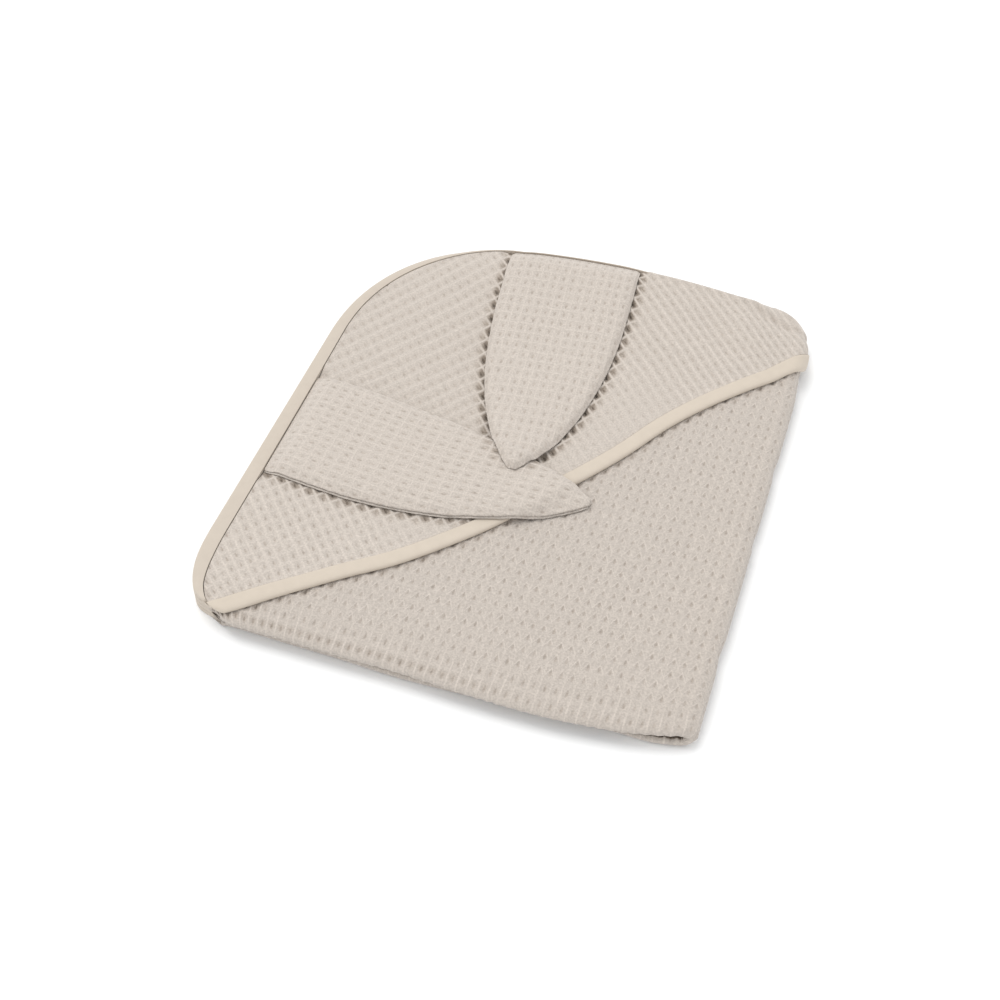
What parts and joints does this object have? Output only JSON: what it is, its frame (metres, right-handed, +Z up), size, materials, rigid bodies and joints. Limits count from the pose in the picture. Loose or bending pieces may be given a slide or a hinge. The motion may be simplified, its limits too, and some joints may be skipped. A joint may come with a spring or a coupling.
{
  "type": "folded hooded bath wrap",
  "caption": "Hooded baby towel of waffle cloth with long pointed ears, folded into a flat packet with its hood and ears on top.",
  "frame": {"origin": "middle of the packet's box, on the surface that it lies on", "axes": "+Y from the rolled front edge to the bound back edge, +X from the bound left edge to the right fold, +Z up"},
  "size_m": [0.3412, 0.4104, 0.0314],
  "materials": {
    "waffle_towel": "sand-coloured cotton waffle weave, matt",
    "waffle_hood": "the same waffle weave, laid at 45 degrees",
    "waffle_ear": "the same waffle weave, along each ear",
    "binding_tape": "cream cotton bias tape, matt and smooth"
  },
  "bodies": {
    "root": {"towel_body": "waffle_towel", "hood_panel": "waffle_hood", "hood_hem_binding": "binding_tape", "edge_binding_1": "binding_tape", "edge_binding_2": "binding_tape", "edge_binding_3": "binding_tape", "edge_binding_4": "binding_tape", "ear_left_back": "waffle_ear", "ear_left_front": "waffle_ear", "ear_right_back": "waffle_ear", "ear_right_front": "waffle_ear"}
  },
  "joints": []
}
